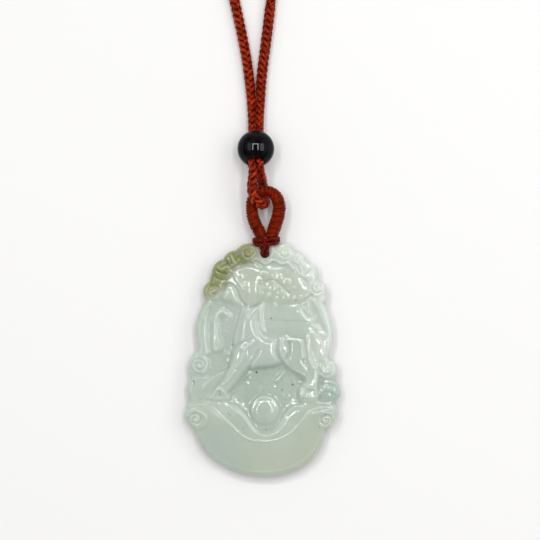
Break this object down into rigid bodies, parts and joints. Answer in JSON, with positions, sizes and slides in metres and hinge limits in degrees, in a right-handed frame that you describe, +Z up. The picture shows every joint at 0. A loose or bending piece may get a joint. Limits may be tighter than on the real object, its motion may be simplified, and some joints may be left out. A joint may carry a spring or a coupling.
{
  "type": "carved jade pendant on a braided cord necklace",
  "caption": "Scalloped oval jade plaque carved in relief, hung by a knotted thin cord and a thread-wound ring from a doubled braided neck cord with a round black bead.",
  "frame": {"origin": "middle of the plaque's flat back, on the surface that the pendant lies on", "axes": "+Z up out of the carved front, +Y from the plaque towards the nape, +X to the viewer's right"},
  "size_m": [0.0945, 0.3483, 0.008],
  "materials": {
    "jade": "polished pale green jade, a little translucent",
    "maroon_cord": "thin dark maroon twisted cord, slight sheen",
    "wound_thread": "rust-brown thread wound in close turns",
    "black_stone": "mirror-polished black stone",
    "braid": "red-brown silky round braid"
  },
  "bodies": {
    "root": {"jade_plaque": "jade", "bail_cord": "maroon_cord", "wrapped_ring": "wound_thread", "bead": "black_stone", "necklace_cord": "braid"}
  },
  "joints": []
}
